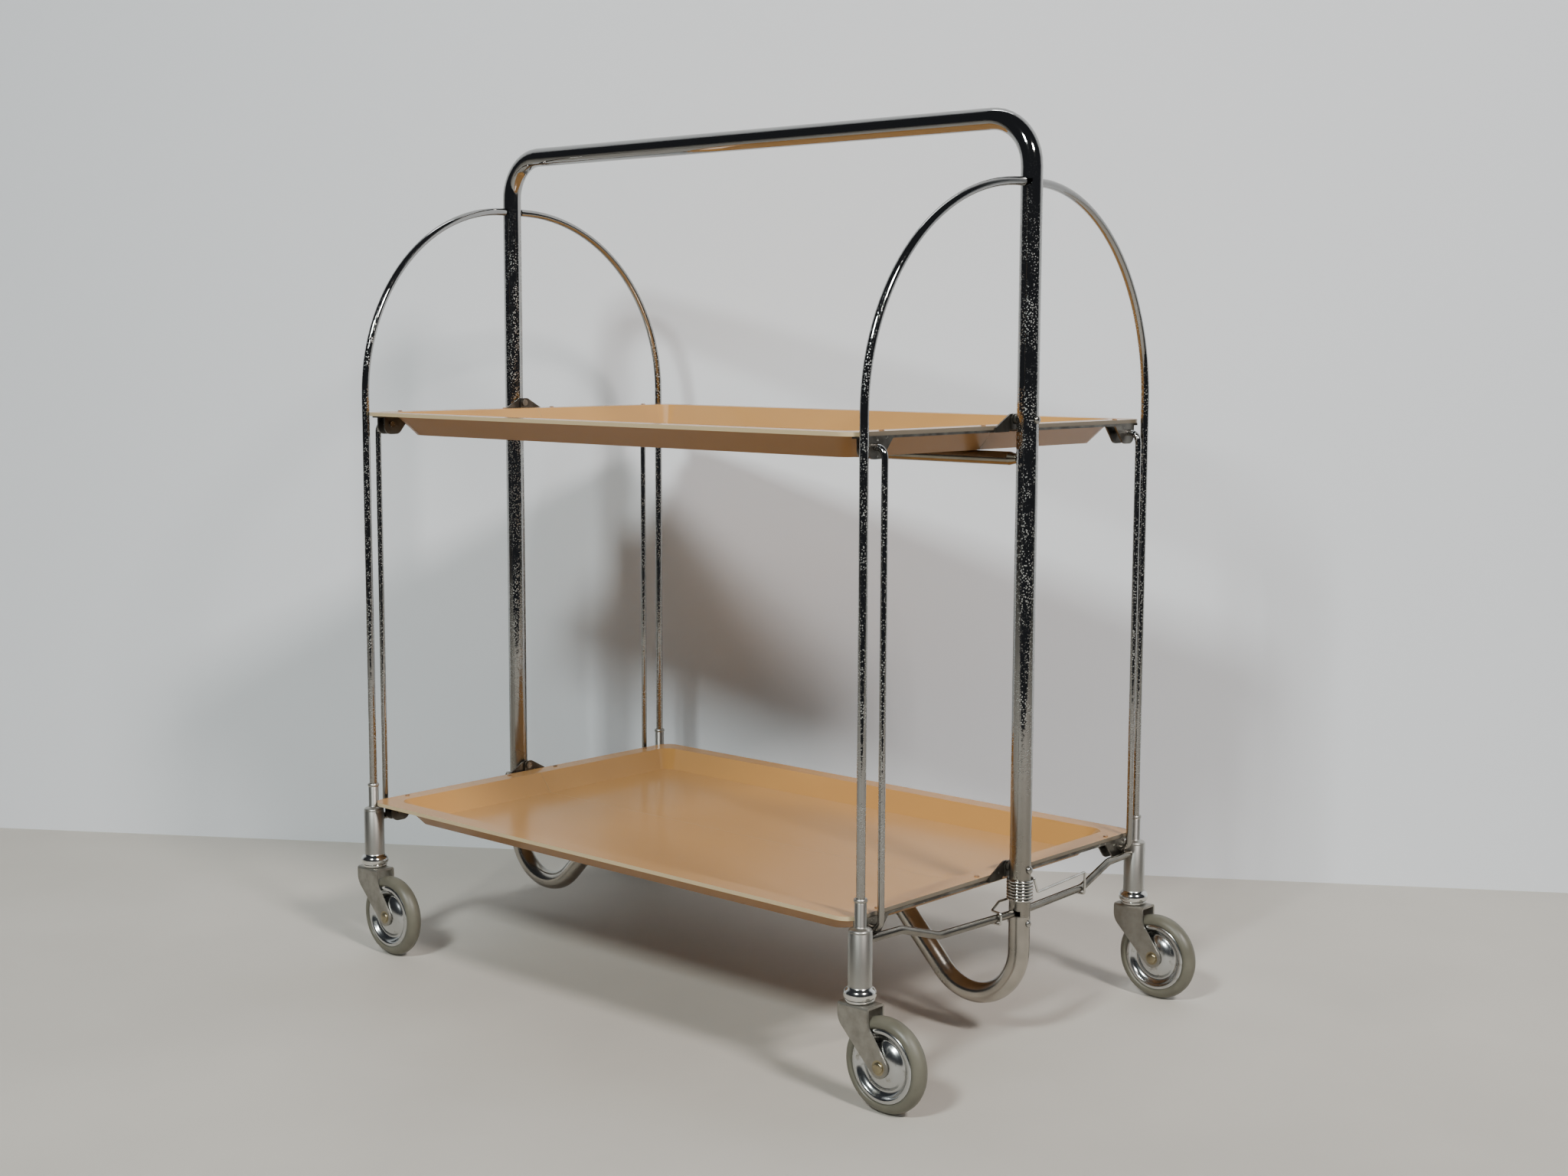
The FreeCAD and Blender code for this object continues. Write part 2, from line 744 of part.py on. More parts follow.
def build_tray(level, side):
    """One leaf: a flat flange with a beaded edge, sloping walls on three sides and a flat floor."""
    body = new_body(f"tray_{level}_{side}")
    sheet = size["tray_sheet"]
    corner = size["tray_corner"]
    top = sketch_on(body, "XY")
    leaf_outline(top, half_length, half_width, corner)
    extrude(body, "Pad", top, sheet, backward=True)
    bead = sketch_on(body, "XY")
    inner_length = half_length - size["bead_width"]
    inner_width = half_width - size["bead_width"]
    inner_corner = corner - size["bead_width"]
    draw(bead, [
        (-half_length, -seam_y), (-half_length, -half_width, corner), (half_length, -half_width, corner),
        (half_length, -seam_y), (inner_length, -seam_y), (inner_length, -inner_width, inner_corner),
        (-inner_length, -inner_width, inner_corner), (-inner_length, -seam_y),
    ])
    extrude(body, "Pad", bead, size["bead_depth"], backward=True)
    run, drop = size["basin_run"], size["basin_depth"]
    mouth = size["flange_width"]
    wall = sheet * root(run * run + drop * drop) / drop
    slope = run / drop
    outer_top = mouth - wall + slope * sheet
    outer_floor = mouth - wall + slope * tray_underside
    round_top, round_floor = size["basin_corner"], size["basin_floor_corner"]
    shell_top = sketch_on(body, "XY", (0, 0, -sheet))
    leaf_outline(shell_top, half_length - outer_top, half_width - outer_top, round_top + wall)
    shell_floor = sketch_on(body, "XY", (0, 0, -tray_underside))
    leaf_outline(shell_floor, half_length - outer_floor, half_width - outer_floor, round_floor + wall)
    loft(body, "Additive", shell_top, shell_floor)
    basin_top = sketch_on(body, "XY")
    leaf_outline(basin_top, half_length - mouth, half_width - mouth, round_top)
    basin_floor = sketch_on(body, "XY", (0, 0, -drop))
    leaf_outline(basin_floor, half_length - mouth - run, half_width - mouth - run, round_floor)
    loft(body, "Subtractive", basin_top, basin_floor)
    holes = sketch_on(body, "XY")
    for end in ENDS.values():
        for place in rivet_places:
            circle_on(holes, (end * rivet_x, -place), tray_rivet_hole_r)
    extrude(body, "Pocket", holes, sheet * THROUGH)
    return node(stand_leaf(body, level, side))


def stand_leaf(thing, level, side, place_x=0, place_y=0):
    """Near leaves stand as drawn; far leaves are the same pieces turned half round."""
    turn = SIDES[side] > 0
    return stand(thing, (place_x, place_y, rim_heights[level]), angle=FULL_TURN / 2 if turn else 0)


def build_strap(level, side, name, end):
    """The steel strap under an end flange, with the ear on the hinge pin and the link rod's cheeks."""
    body = new_body(f"strap_{level}_{side}_{name}")
    drawn_end = end if side == "near" else -end
    top = -size["bead_depth"]
    backward = drawn_end < 0
    plate = sketch_on(body, "XY", (0, 0, top))
    start, reach = size["strap_start"], size["strap_reach"]
    rectangle(plate, drawn_end * strap_in_x, -reach, drawn_end * strap_out_x, -start)
    extrude(body, "Pad", plate, size["strap_sheet"], backward=True)
    ear_x = inner_ear_x if drawn_end > 0 else outer_ear_x
    tab = sketch_on(body, "XY", (0, 0, top))
    tab_end = ear_x + size["ear_sheet"]
    tab_start = strap_out_x - size["cheek_sheet"]
    rectangle(tab, drawn_end * tab_start, -size["ear_length"], drawn_end * tab_end, -start)
    extrude(body, "Pad", tab, size["strap_sheet"], backward=True)
    ear = sketch_on(body, "YZ", (0, 0, drawn_end * ear_x))
    ear_r = size["ear_radius"]
    rise = size["hinge_rise"]
    foot = top - size["strap_sheet"]
    draw(ear, [
        (-size["ear_length"], foot), (-start, foot), (-start, top), (ear_r, top),
        (ear_r, rise + ear_r, size["ear_round"]), (-ear_r, rise + ear_r, size["ear_round"]),
        (-size["ear_length"], top + size["strap_sheet"]),
    ])
    extrude(body, "Pad", ear, size["ear_sheet"], backward=backward)
    for cheek_x in (strap_in_x, strap_out_x - size["cheek_sheet"]):
        cheek = sketch_on(body, "YZ", (0, 0, drawn_end * cheek_x))
        lobe = size["lobe_corner"]
        bottom = -size["cheek_depth"]
        root_z = top - size["strap_sheet"] / 2
        draw(cheek, [
            (-size["cheek_start"], root_z), (-size["lobe_end"], root_z),
            (-size["lobe_end"], bottom, lobe), (-size["lobe_start"], bottom, lobe),
        ])
        extrude(body, "Pad", cheek, size["cheek_sheet"], backward=backward)
    holes = sketch_on(body, "YZ", (0, 0, drawn_end * strap_in_x))
    circle_on(holes, (0, rise), pin_hole_r)
    circle_on(holes, (-size["link_place"], -size["link_drop"]), link_hole_r)
    extrude(body, "Pocket", holes, (ears_end_x - strap_in_x) * THROUGH, both_ways=True)
    rivet_holes = sketch_on(body, "XY")
    for place in rivet_places:
        circle_on(rivet_holes, (drawn_end * rivet_x, -place), tray_rivet_hole_r)
    extrude(body, "Pocket", rivet_holes, size["bead_depth"] * THROUGH)
    return node(stand_leaf(body, level, side))


def build_tray_rivets(level, side):
    """The rivets that hold both straps under the leaf's end flanges."""
    head_r = size["tray_rivet_head"] / 2
    head = size["tray_rivet_head_depth"]
    tail = size["bead_depth"] + size["strap_sheet"] + head / 2
    rivets = []
    for name, end in ENDS.items():
        for place_name, place in zip(("hinge", "corner"), rivet_places):
            body = turned(f"rivet_{level}_{side}_{name}_{place_name}", [
                (0, -tail), (tray_rivet_r, -tail), (tray_rivet_r, 0), (head_r, 0),
                (head_r * size["head_taper"], head), (0, head),
            ])
            rivets.append(stand_leaf(body, level, side, end * rivet_x, SIDES[side] * place))
    return group(f"rivets_{level}_{side}", rivets)


def build_link_rod(side, name, end):
    """The rod that joins an upper leaf to the lower one, bent in through the cheeks at both ends."""
    body = new_body(f"link_rod_{side}_{name}")
    top = rim_heights["upper"] - size["link_drop"]
    bottom = rim_heights["lower"] - size["link_drop"]
    bend = size["link_bend"]
    path = sketch_on(body, "XZ")
    draw(path, [
        (link_end_x, top), (link_x, top, bend), (link_x, bottom, bend), (link_end_x, bottom),
    ], closed=False)
    section = sketch_on(body, "YZ", (0, 0, link_end_x))
    circle_on(section, (0, top), link_r)
    sweep(body, section, path)
    angle = 0 if end > 0 else FULL_TURN / 2
    return node(stand(body, (0, SIDES[side] * size["link_place"], 0), angle=angle))


# ---------------------------------------------------------------- gates


def stand_gate(thing, side, end):
    """Stands a piece drawn in a gate's own plane: its X runs out from the post's axis to the leg."""
    if end > 0:
        angle = SIDES[side] * (lean + RIGHT_ANGLE)
    else:
        angle = SIDES[side] * (RIGHT_ANGLE - lean)
    return stand(thing, (end * post_x, 0, 0), angle=angle)


def gate_rod(label, radius, corners):
    """A bent rod in a gate's plane with a thinner pivot pin that enters the post."""
    body = new_body(label)
    height = corners[0][1]
    path = sketch_on(body, "XZ")
    draw(path, corners, closed=False)
    section = sketch_on(body, "YZ", (0, 0, corners[0][0]))
    circle_on(section, (0, height), radius)
    sweep(body, section, path)
    tip = sketch_on(body, "YZ", (0, 0, size["pivot_reach"]))
    circle_on(tip, (0, height), pivot_r)
    extrude(body, "Pad", tip, corners[0][0] - size["pivot_reach"] + pivot_r / 2)
    return body


def build_hoop_leg(side, name, end):
    """The leg: a wire that leaves the post level, bends down in a wide arch and ends in the socket."""
    body = gate_rod(f"hoop_leg_{side}_{name}", gate_rod_r, [
        (gate_start, arch_z), (leg_u, arch_z, size["arch_radius"]), (leg_u, leg_end_z),
    ])
    return node(stand_gate(body, side, end))


def build_arm(side, name, end):
    """The arm: a rod that leaves the post level, rises and is welded to the socket."""
    bend = size["arm_bend"]
    body = gate_rod(f"arm_{side}_{name}", arm_r, [
        (gate_start, arm_z), (size["arm_rise_start"], arm_z, bend),
        (size["arm_rise_end"], arm_end_z, bend), (leg_u - socket_r - size["weld_gap"], arm_end_z),
    ])
    return node(stand_gate(body, side, end))


def build_socket(side, name, end):
    """The turned socket at the foot of a leg, with its neck, its shoulder and the caster's cup."""
    stem_bore = stem_r + size["running_fit"]
    leg_bore = gate_rod_r + size["weld_gap"]
    neck_r = size["neck_diameter"] / 2
    ring_r = neck_r + size["neck_ring_step"]
    cup_r = size["cup_diameter"] / 2
    cup_round = size["cup_round"]
    cup_low = crown_z + size["seat_gap"]
    cup_top = cup_low + size["cup_height"]
    top = lower_rim - size["socket_drop"]
    neck_top = top + size["neck_length"]
    ring_low = neck_top - size["neck_ring"]
    shoulder = size["socket_shoulder"]
    stem_end = stem_top_z + size["seat_gap"]
    body = turned(f"socket_{side}_{name}", [
        (stem_bore, cup_low), (cup_r - cup_round, cup_low), (cup_r, cup_low + cup_round),
        (cup_r, cup_top - cup_round), (cup_r - cup_round, cup_top), (socket_r, cup_top),
        (socket_r, top - shoulder), (socket_r - shoulder, top), (neck_r, top), (neck_r, ring_low),
        (ring_r, ring_low), (ring_r, neck_top), (leg_bore, neck_top), (leg_bore, leg_end_z),
        (0, leg_end_z), (0, stem_end), (stem_bore, stem_end),
    ])
    return node(stand(body, (end * leg_x, SIDES[side] * leg_y, 0)))


# ---------------------------------------------------------------- casters


def trail_turn(side, name):
    """Three casters trail toward +X; the far left one is turned about."""
    return FULL_TURN / 2 if (side, name) == ("far", "left") else 0


def build_fork(side, name, end):
    """The pressed fork: a flat crown and two tapered arms that sweep back to the axle."""
    body = new_body(f"fork_{side}_{name}")
    sheet = size["fork_sheet"]
    front, back = size["fork_front"], size["fork_back"]
    knee_z = crown_z - size["fork_knee_drop"]
    trail, end_r = size["caster_trail"], size["fork_end"]
    front_angle, back_angle = size["fork_front_angle"], size["fork_back_angle"]
    outline = sketch_on(body, "XZ")
    draw(outline, [
        (-front, crown_z), (-front, knee_z, size["fork_front_round"]),
        (trail - end_r * sine(front_angle), wheel_r - end_r * cosine(front_angle)),
        (trail + end_r * cosine(back_angle), wheel_r + end_r * sine(back_angle)),
        (back, knee_z, size["fork_back_round"]), (back, crown_z),
    ])
    extrude(body, "Pad", outline, size["fork_width"], both_ways=True)
    eye = sketch_on(body, "XZ")
    circle_on(eye, (trail, wheel_r), end_r)
    blank = extrude(body, "Pad", eye, size["fork_width"], both_ways=True)

    def crown_edge(edge, middle):
        lengthwise = abs(edge.tangentAt(edge.FirstParameter).x) > MOSTLY
        return abs(middle.z - float(crown_z)) < SAME and lengthwise

    fillet_edges(body, blank, size["fork_edge"], crown_edge)
    gap = sketch_on(body, "XZ")
    rectangle(gap, -front * THROUGH, wheel_r - end_r * THROUGH, trail * THROUGH, crown_under)
    extrude(body, "Pocket", gap, size["fork_width"] - sheet * 2, both_ways=True)
    bores = sketch_on(body, "XZ")
    circle_on(bores, (trail, wheel_r), axle_r + size["running_fit"])
    extrude(body, "Pocket", bores, size["fork_width"] * THROUGH, both_ways=True)
    crown_hole = sketch_on(body, "XY", (0, 0, crown_z))
    circle_on(crown_hole, (0, 0), stem_r + size["running_fit"])
    extrude(body, "Pocket", crown_hole, sheet * THROUGH)
    return node(stand(body, (end * leg_x, SIDES[side] * leg_y, 0), angle=trail_turn(side, name)))


def build_stem(side, name, end):
    """The king pin, headed under the fork's crown, that turns in the socket."""
    head_r = size["stem_head"] / 2
    head_z = crown_under - size["stem_head_depth"]
    body = turned(f"stem_{side}_{name}", [
        (0, head_z), (head_r, head_z), (head_r, crown_under),
        (stem_r, crown_under), (stem_r, stem_top_z), (0, stem_top_z),
    ])
    return node(stand(body, (end * leg_x, SIDES[side] * leg_y, 0)))


def stand_wheel(thing, side, name, end):
    """Lays a turned piece on its side, with its axis on the axle."""
    forward = -1 if trail_turn(side, name) else 1
    place = (end * leg_x + forward * size["caster_trail"], SIDES[side] * leg_y, wheel_r)
    return stand(thing, place, axis=(1, 0, 0), angle=RIGHT_ANGLE)


def both_halves(half_profile):
    """A closed turned outline from the half above its middle plane, given from the bore outward."""
    return half_profile + [(radius, -height) for radius, height in reversed(half_profile)]


def build_axle(side, name, end):
    """The axle rivet through the fork's arms and the hub."""
    head_r = size["axle_head"] / 2
    head = size["axle_head_depth"]
    half = fork_half + size["weld_gap"]
    body = turned(f"axle_{side}_{name}", both_halves([
        (0, half + head), (head_r * size["head_taper"], half + head), (head_r, half + head / 2),
        (head_r, half), (axle_r, half),
    ]))
    return node(stand_wheel(body, side, name, end))


def build_tyre(side, name, end):
    """The tyre, with a tread rounded by bevels and sides that draw in to the rim."""
    bore = size["tyre_bore"] / 2
    half = size["tyre_width"] / 2
    lip = half - size["tyre_lip"]
    bevel_r = wheel_r - size["tread_bevel"]
    shoulder_r = wheel_r - size["tyre_shoulder"] - size["tread_bevel"]
    body = turned(f"tyre_{side}_{name}", both_halves([
        (bore, lip), (wheel_r - size["tyre_flank"], half), (shoulder_r, half - size["tyre_shoulder_bevel"]),
        (bevel_r, half - size["tyre_shoulder"]), (wheel_r, size["tread_width"] / 2),
    ]))
    return node(stand_wheel(body, side, name, end))


def build_hub(side, name, end):
    """The pressed wheel disc: a flange, a groove, a domed middle and a boss that fills the fork."""
    outer = size["tyre_bore"] / 2 - size["weld_gap"]
    bore = axle_r + size["running_fit"]
    flange = size["hub_flange_width"] / 2
    web = size["hub_web"] / 2
    flange_r = size["hub_flange"] / 2
    dome_r = size["hub_dome"] / 2
    bevel = size["hub_bevel"]
    body = turned(f"hub_{side}_{name}", both_halves([
        (bore, size["hub_width"] / 2), (size["hub_boss"] / 2, size["hub_width"] / 2),
        (dome_r, size["hub_dome_edge"] / 2), (dome_r + size["hub_draft"], web), (flange_r, web),
        (flange_r + size["hub_draft"], flange), (outer - bevel, flange), (outer, flange - bevel),
    ]))
    return node(stand_wheel(body, side, name, end))


# ---------------------------------------------------------------- the whole trolley


def build_all():
    build_handle_frame()
    build_base_tube()
    build_crossbar()
    build_hinge_pins()
    build_foot_rivets()
    build_springs()
    for level in rim_heights:
        for side in SIDES:
            build_tray(level, side)
            for name, end in ENDS.items():
                build_strap(level, side, name, end)
            build_tray_rivets(level, side)
    for side in SIDES:
        for name, end in ENDS.items():
            build_link_rod(side, name, end)
            for build in (build_hoop_leg, build_arm, build_socket, build_fork, build_stem, build_axle,
                          build_tyre, build_hub):
                build(side, name, end)


def check_all():
    """Stops if any object failed or any part's shape is empty or invalid."""
    for thing in doc.Objects:
        if "Invalid" in thing.State or "Error" in thing.State:
            raise RuntimeError(f"{thing.Label} ({thing.Name}) failed: {thing.State}")
    for thing in nodes:
        if thing.Shape.isNull() or not thing.Shape.isValid():
            raise RuntimeError(f"{thing.Label} has a bad shape")
        expected = len(thing.Links) if thing.isDerivedFrom("Part::Compound") else 1
        if len(thing.Shape.Solids) != expected:
            raise RuntimeError(f"{thing.Label} has {len(thing.Shape.Solids)} solids")


def write_all():
    os.makedirs("parts", exist_ok=True)
    for thing in nodes:
        thing.Shape.exportStep(f"parts/{thing.Label}.step")


build_all()
doc.recompute()
check_all()
write_all()
print(len(nodes), "nodes")
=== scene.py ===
import math

import bmesh
import bpy
from mathutils import Matrix, Vector


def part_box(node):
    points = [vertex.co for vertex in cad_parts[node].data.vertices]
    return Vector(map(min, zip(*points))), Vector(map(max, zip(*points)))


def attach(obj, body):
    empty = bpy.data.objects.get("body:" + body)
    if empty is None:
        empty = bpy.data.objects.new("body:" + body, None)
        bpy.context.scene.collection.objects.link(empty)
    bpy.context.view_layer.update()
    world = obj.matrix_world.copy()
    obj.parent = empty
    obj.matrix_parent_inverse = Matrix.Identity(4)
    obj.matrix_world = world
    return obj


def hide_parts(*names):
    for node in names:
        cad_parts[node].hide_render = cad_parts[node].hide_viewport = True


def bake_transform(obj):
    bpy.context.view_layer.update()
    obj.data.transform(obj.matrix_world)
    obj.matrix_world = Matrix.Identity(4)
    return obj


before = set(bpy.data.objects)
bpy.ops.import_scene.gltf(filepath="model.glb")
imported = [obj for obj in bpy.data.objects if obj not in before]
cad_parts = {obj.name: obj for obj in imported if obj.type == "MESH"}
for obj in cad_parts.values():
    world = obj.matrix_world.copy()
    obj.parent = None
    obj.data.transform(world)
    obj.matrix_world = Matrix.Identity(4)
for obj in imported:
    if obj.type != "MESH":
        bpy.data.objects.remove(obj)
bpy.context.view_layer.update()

SIDES = ("near", "far")
ENDS = {"left": -1, "right": 1}
MM = 0.001

# The photograph's camera, in the row frame
CAMERA_PLACE = (1.3012, -1.3812, 0.5870)
CAMERA_YAW = math.radians(42.13)
CAMERA_PITCH = math.radians(-6.79)
CAMERA_ROLL = math.radians(0.18)
CAMERA_LENS = 47.62
SENSOR_WIDTH = 36.0
CAMERA_CLIP = (0.05, 50)

# The room: two points of the line where the wall meets the floor, and how far wall and floor reach from there
# and from the trolley. The floor ends soon in front and the world is dark, because the posts mirror both.
WALL_FOOT_LEFT = Vector((-1.047, -0.196, 0))
WALL_FOOT_RIGHT = Vector((0.467, 0.800, 0))
WALL_REACH = 5.0
WALL_HEIGHT = 4.0
FLOOR_SIDE = 5.0
FLOOR_FRONT = 1.6
FLOOR_BACK = 5.0
WORLD_COLOUR = (50, 52, 56)

# Lamps: place and aim in metres to the right, ahead and up, as the camera sees the trolley, then the lamp's
# side in metres, its power in watts, its colour and its spread in degrees
FRONT_AIM = (0, 0, 0.35)
LAMPS = {
    "left_lamp": ((-1.3, -2.7, 2.5), FRONT_AIM, 0.5, 35, (0.94, 1.0, 0.98), 110),
    "right_lamp": ((1.5, -2.4, 2.4), FRONT_AIM, 0.5, 35, (1.0, 0.95, 0.92), 110),
    "top": ((0, 0.75, 2.4), (0, 1.0, 0.35), 0.9, 24, (0.95, 0.98, 1.0), 180),
}

# Chrome: its roughness where it is clean, and over how much height, in metres, its specks and its wear fade
CLEAN_CHROME = 0.05
PITS_FADE_IN = 0.05
PITS_FADE_OUT = 0.08
SATIN_FADE = 0.10

# Cloudy plate: the share of its colour that the clouds keep, and the shares its roughness goes between
CLOUD_SHADE = 0.72
CLOUD_ROUGHNESS = (0.75, 1.35)

# The height, in metres, at which a socket's bright bead goes over into its satin tube
BEAD_TOP = 0.0945
BEAD_FADE = 0.0005

# The colour sockets of a mix node come after those for numbers and vectors
MIX_FIRST = 6
MIX_SECOND = 7
MIX_RESULT = 2

# Turned pieces: outlines of (radius, height) in millimetres, as the CAD has them but with round edges.
# The wheels' are one side of the wheel, from the bore out; the other side is its mirror.
LATHE_STEPS = 72
SHARP_ANGLE = math.radians(38)
TYRE_SIDE = [
    (28.0, 5.2), (28.2, 5.9), (29.7, 6.1), (30.1, 6.9), (30.8, 7.35), (31.9, 7.5), (33.2, 7.25), (34.6, 6.5),
    (36.0, 5.2), (37.1, 3.6), (37.8, 1.8), (38.0, 0.0),
]
HUB_SIDE = [
    (6.05, 8.0), (7.4, 8.0), (9.6, 7.75), (12.0, 7.2), (14.4, 6.35), (16.6, 5.2), (18.3, 3.9), (19.3, 2.8),
    (19.9, 2.5), (20.7, 2.55), (22.0, 3.0), (23.2, 3.8), (24.2, 4.9), (24.9, 6.0), (25.6, 6.7), (26.5, 7.0),
    (27.9, 7.0), (28.8, 6.7), (29.2, 6.35), (28.2, 6.1), (27.95, 5.2),
]
SOCKET_OUTLINE = [
    (4.05, 82.2), (10.2, 82.2), (11.2, 82.6), (11.7, 83.4), (11.8, 84.6), (11.6, 85.0), (12.3, 85.6),
    (12.85, 86.8), (13.0, 88.2), (12.9, 89.8), (12.4, 91.3), (11.4, 92.7), (10.3, 93.5), (9.75, 94.4),
    (9.5, 95.6), (9.5, 136.4), (9.2, 136.8), (9.2, 137.3), (9.45, 137.5), (9.4, 138.3), (8.8, 139.2),
    (7.7, 139.8), (6.3, 140.2), (5.3, 140.8), (4.8, 141.6), (4.8, 159.9), (4.6, 160.2), (5.0, 160.5),
    (5.45, 161.1), (5.5, 161.9), (5.3, 162.8), (4.8, 163.4), (3.65, 163.4), (3.65, 126.0), (0, 126.0),
    (0, 120.3), (4.05, 120.3),
]
AXLE_RADIUS = 6.0
AXLE_HEAD = [(4.5, 0.0), (4.4, 0.7), (3.9, 1.2), (3.0, 1.5), (1.7, 1.72), (0.0, 1.8)]
PIN_DOME = [(0.0, 0.0), (3.3, 0.0), (3.35, 0.6), (3.15, 1.3), (2.6, 1.9), (1.6, 2.4), (0.0, 2.6)]
RIVET_DOME = [(0.0, 0.0), (2.8, 0.0), (2.85, 0.5), (2.65, 1.1), (2.1, 1.6), (1.2, 1.95), (0.0, 2.1)]

# The posts' axes and sides, and the heights of the pins and rivets through them, in millimetres
POST_PLACE = 317.5
POST_SIDE = 9.05
HINGE_HEIGHTS = (152.5, 524.5)
FOOT_RIVET_HEIGHT = 106.8

# The springs' wire, in millimetres: its coil round the post and the corners of its two legs, from the post's
# axis. The low leg hooks round one arm and the high leg round the other. After each leg come two distances
# from the axis along its gate; the second tells on which side its gate is, and the leg does not bend with it.
WIRE_RADIUS = 1.05
WIRE_SIDES = 12
WIRE_BEND = 2.1
BEND_STEPS = 6
COIL_RADIUS = 10.2
COIL_LOW = 125.35
COIL_RISE = 19.0
COIL_TURNS = 7.25
COIL_STEPS = 40
LOW_LEG = [
    (-6.43, -29.95, 110.95), (2.87, -29.95, 110.95), (2.87, -29.95, 120.25), (-6.43, -29.95, 121.3),
    (-10.2, -14.97, 125.35), (-10.2, 0.0, 125.35),
]
LOW_LEG_BEND = (-11.5, -27.0)
HIGH_LEG = [
    (0.0, 10.2, 144.35), (7.1, 10.2, 143.3), (7.1, 15.3, 130.5), (-1.16, 97.83, 130.5),
    (-1.16, 97.83, 110.95), (-10.46, 97.83, 110.95),
]
HIGH_LEG_BEND = (11.5, 30.0)


def rgb(red, green, blue):
    """A display colour of 0 to 255 as the linear colour that shaders take."""
    def linear(value):
        share = value / 255
        return share / 12.92 if share <= 0.04045 else ((share + 0.055) / 1.055) ** 2.4
    return (linear(red), linear(green), linear(blue), 1.0)


class Look:
    """A material made of a Principled shader and a few procedural nodes in front of it."""

    def __init__(self, name, colour, metallic, roughness):
        self.material = bpy.data.materials.new(name)
        self.material.use_nodes = True
        self.tree = self.material.node_tree
        self.shader = self.tree.nodes["Principled BSDF"]
        self.shader.inputs["Base Color"].default_value = colour
        self.shader.inputs["Metallic"].default_value = metallic
        self.shader.inputs["Roughness"].default_value = roughness
        self.place = self.node("ShaderNodeTexCoord")

    def node(self, kind, **settings):
        made = self.tree.nodes.new(kind)
        for setting, value in settings.items():
            setattr(made, setting, value)
        return made

    def wire(self, source, target):
        self.tree.links.new(source, target)

    def noise(self, scale, detail, stretch=(1, 1, 1)):
        """Cloudy noise from 0 to 1 in the piece's own coordinates, in features per metre."""
        mapping = self.node("ShaderNodeMapping")
        mapping.inputs["Scale"].default_value = stretch
        self.wire(self.place.outputs["Object"], mapping.inputs["Vector"])
        texture = self.node("ShaderNodeTexNoise")
        texture.inputs["Scale"].default_value = scale
        texture.inputs["Detail"].default_value = detail
        self.wire(mapping.outputs["Vector"], texture.inputs["Vector"])
        return texture.outputs["Fac"]

    def cells(self, scale):
        """The distance to the nearest of many scattered points."""
        texture = self.node("ShaderNodeTexVoronoi")
        texture.inputs["Scale"].default_value = scale
        self.wire(self.place.outputs["Object"], texture.inputs["Vector"])
        return texture.outputs["Distance"]

    def axis(self, output, letter):
        """One letter, X, Y or Z, of the piece's own coordinates or normal."""
        parts = self.node("ShaderNodeSeparateXYZ")
        self.wire(self.place.outputs[output], parts.inputs["Vector"])
        return parts.outputs[letter]

    def ramp(self, source, low, high, start=0.0, end=1.0):
        """source from low to high becomes start to end, and stays there outside."""
        made = self.node("ShaderNodeMapRange", clamp=True)
        self.wire(source, made.inputs["Value"])
        for socket, value in zip(("From Min", "From Max", "To Min", "To Max"), (low, high, start, end)):
            made.inputs[socket].default_value = value
        return made.outputs["Result"]

    def both(self, first, second, operation="MULTIPLY"):
        """Two values or numbers, multiplied or joined by another operation."""
        made = self.node("ShaderNodeMath", operation=operation)
        for socket, value in zip(made.inputs, (first, second)):
            if isinstance(value, (int, float)):
                socket.default_value = value
            else:
                self.wire(value, socket)
        return made.outputs["Value"]

    def blend(self, share, first, second):
        """A colour from first to second as share goes from 0 to 1."""
        made = self.node("ShaderNodeMix", data_type="RGBA")
        self.wire(share, made.inputs["Factor"])
        for socket, value in ((made.inputs[MIX_FIRST], first), (made.inputs[MIX_SECOND], second)):
            if isinstance(value, tuple):
                socket.default_value = value
            else:
                self.wire(value, socket)
        return made.outputs[MIX_RESULT]

    def paint(self, colour):
        self.wire(colour, self.shader.inputs["Base Color"])

    def rough(self, value):
        self.wire(value, self.shader.inputs["Roughness"])

    def stain(self, share, first, second, smooth, rough):
        """Goes from one colour and roughness to another as share goes from 0 to 1."""
        self.paint(self.blend(share, first, second))
        self.rough(self.ramp(share, 0, 1, smooth, rough))

    def bump(self, height, depth, strength):
        made = self.node("ShaderNodeBump")
        made.inputs["Distance"].default_value = depth
        made.inputs["Strength"].default_value = strength
        self.wire(height, made.inputs["Height"])
        self.wire(made.outputs["Normal"], self.shader.inputs["Normal"])


def chrome_look(name, pits_from, pits_to, satin_below):
    """Chrome plate with pale pitted specks between two heights, and worn satin below a third."""
    look = Look(name, rgb(196, 197, 200), 1.0, CLEAN_CHROME)
    height = look.axis("Object", "Z")
    satin = look.ramp(height, satin_below, satin_below - SATIN_FADE)
    specks = look.ramp(look.cells(620), 0.42, 0.24)
    patches = look.ramp(look.noise(90, 4, (1, 1, 0.5)), 0.34, 0.50)
    band = look.both(look.ramp(height, pits_from, pits_from + PITS_FADE_IN),
                     look.ramp(height, pits_to, pits_to - PITS_FADE_OUT))
    pits = look.both(look.both(specks, patches), band)
    clean = look.blend(satin, rgb(160, 159, 157), rgb(146, 142, 134))
    look.paint(look.blend(pits, clean, rgb(196, 198, 195)))
    worn = look.ramp(satin, 0, 1, CLEAN_CHROME, 0.27)
    cloudy = look.both(worn, look.ramp(look.noise(60, 5), 0.3, 0.7, 0.8, 1.25))
    look.rough(look.both(cloudy, look.ramp(pits, 0, 1, 0, 0.42), "ADD"))
    look.bump(look.both(pits, look.noise(240, 2), "ADD"), 0.00012, 0.3)
    return look.material


